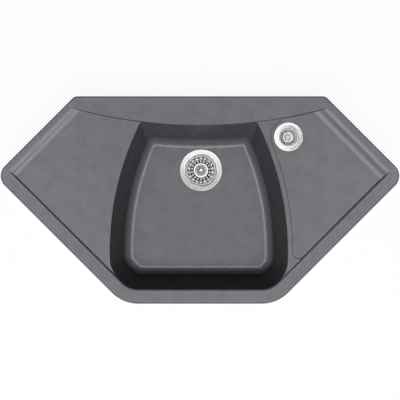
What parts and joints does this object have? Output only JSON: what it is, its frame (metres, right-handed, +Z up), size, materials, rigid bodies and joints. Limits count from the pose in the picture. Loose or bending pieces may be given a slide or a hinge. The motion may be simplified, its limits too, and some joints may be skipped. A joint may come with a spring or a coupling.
{
  "type": "corner kitchen sink",
  "caption": "Inset corner kitchen sink in dark composite with a deep bowl, a plain and a sunken drainer, basket wastes, a link pipe and swinging rim clips.",
  "frame": {"origin": "Centre of the rim's outline, in the plane of the worktop that the rim rests on (the underside of the rim).", "axes": "+X to the right along the back edge, +Y to the back, where the tap stands, +Z up."},
  "size_m": [0.9798, 0.51, 0.3092],
  "materials": {
    "composite": "fine speckled satin",
    "cup_steel": "brushed",
    "basket_steel": "polished",
    "knob_chrome": "polished",
    "gasket_rubber": "matt",
    "plug_rubber": "matt",
    "waste_plastic": "moulded",
    "pipe_plastic": "smooth",
    "nut_plastic": "moulded",
    "screw_steel": "zinc plated",
    "insert_brass": "turned",
    "clip_steel": "pressed, zinc plated"
  },
  "bodies": {
    "sink": {"sink_body": "composite", "main_strainer_cup": "cup_steel", "main_flange_gasket": "gasket_rubber", "main_waste_gasket": "gasket_rubber", "main_waste_body": "waste_plastic", "main_centre_screw": "screw_steel", "main_insert_nut": "insert_brass", "small_strainer_cup": "cup_steel", "small_flange_gasket": "gasket_rubber", "small_waste_gasket": "gasket_rubber", "small_waste_body": "waste_plastic", "small_centre_screw": "screw_steel", "small_insert_nut": "insert_brass", "link_pipe": "pipe_plastic", "small_outlet_nut": "nut_plastic", "small_outlet_washer": "gasket_rubber", "side_inlet_nut": "nut_plastic", "side_inlet_washer": "gasket_rubber", "clip_screws": "screw_steel", "clip_inserts": "insert_brass"},
    "main_basket": {"main_basket": "basket_steel"},
    "main_plug": {"main_basket_plug": "plug_rubber", "main_basket_stem": "basket_steel", "main_basket_knob": "knob_chrome", "main_plug_clip": "screw_steel"},
    "small_basket": {"small_basket": "basket_steel"},
    "small_plug": {"small_basket_plug": "plug_rubber", "small_basket_stem": "basket_steel", "small_basket_knob": "knob_chrome", "small_plug_clip": "screw_steel"},
    "clip_1": {"clip_1": "clip_steel"},
    "clip_2": {"clip_2": "clip_steel"},
    "clip_3": {"clip_3": "clip_steel"},
    "clip_4": {"clip_4": "clip_steel"},
    "clip_5": {"clip_5": "clip_steel"},
    "clip_6": {"clip_6": "clip_steel"},
    "clip_7": {"clip_7": "clip_steel"},
    "clip_8": {"clip_8": "clip_steel"}
  },
  "joints": [
    {"name": "main_basket_lift", "type": "slide", "parent": "sink", "child": "main_basket", "axis": [0, 0, 1], "range_m": [0, 0.09]},
    {"name": "main_plug_pull", "type": "slide", "parent": "main_basket", "child": "main_plug", "axis": [0, 0, 1], "range_m": [0, 0.006]},
    {"name": "small_basket_lift", "type": "slide", "parent": "sink", "child": "small_basket", "axis": [0, 0, 1], "range_m": [0, 0.07]},
    {"name": "small_plug_pull", "type": "slide", "parent": "small_basket", "child": "small_plug", "axis": [0, 0, 1], "range_m": [0, 0.006]},
    {"name": "clip_1_swing", "type": "hinge", "parent": "sink", "child": "clip_1", "pos_m": [0.19, 0.222, -0.0365], "axis": [0, 0, 1], "range_deg": [0, 90]},
    {"name": "clip_2_swing", "type": "hinge", "parent": "sink", "child": "clip_2", "pos_m": [0.37612, 0.14071, -0.0365], "axis": [0, 0, 1], "range_deg": [0, 90]},
    {"name": "clip_3_swing", "type": "hinge", "parent": "sink", "child": "clip_3", "pos_m": [0.38738, -0.01062, -0.0365], "axis": [0, 0, 1], "range_deg": [0, 90]},
    {"name": "clip_4_swing", "type": "hinge", "parent": "sink", "child": "clip_4", "pos_m": [0.28798, -0.11002, -0.0365], "axis": [0, 0, 1], "range_deg": [0, 90]},
    {"name": "clip_5_swing", "type": "hinge", "parent": "sink", "child": "clip_5", "pos_m": [-0.19, 0.222, -0.0365], "axis": [0, 0, 1], "range_deg": [0, 90]},
    {"name": "clip_6_swing", "type": "hinge", "parent": "sink", "child": "clip_6", "pos_m": [-0.37612, 0.14071, -0.0365], "axis": [0, 0, 1], "range_deg": [0, 90]},
    {"name": "clip_7_swing", "type": "hinge", "parent": "sink", "child": "clip_7", "pos_m": [-0.38738, -0.01062, -0.0365], "axis": [0, 0, 1], "range_deg": [0, 90]},
    {"name": "clip_8_swing", "type": "hinge", "parent": "sink", "child": "clip_8", "pos_m": [-0.28798, -0.11002, -0.0365], "axis": [0, 0, 1], "range_deg": [0, 90]}
  ]
}
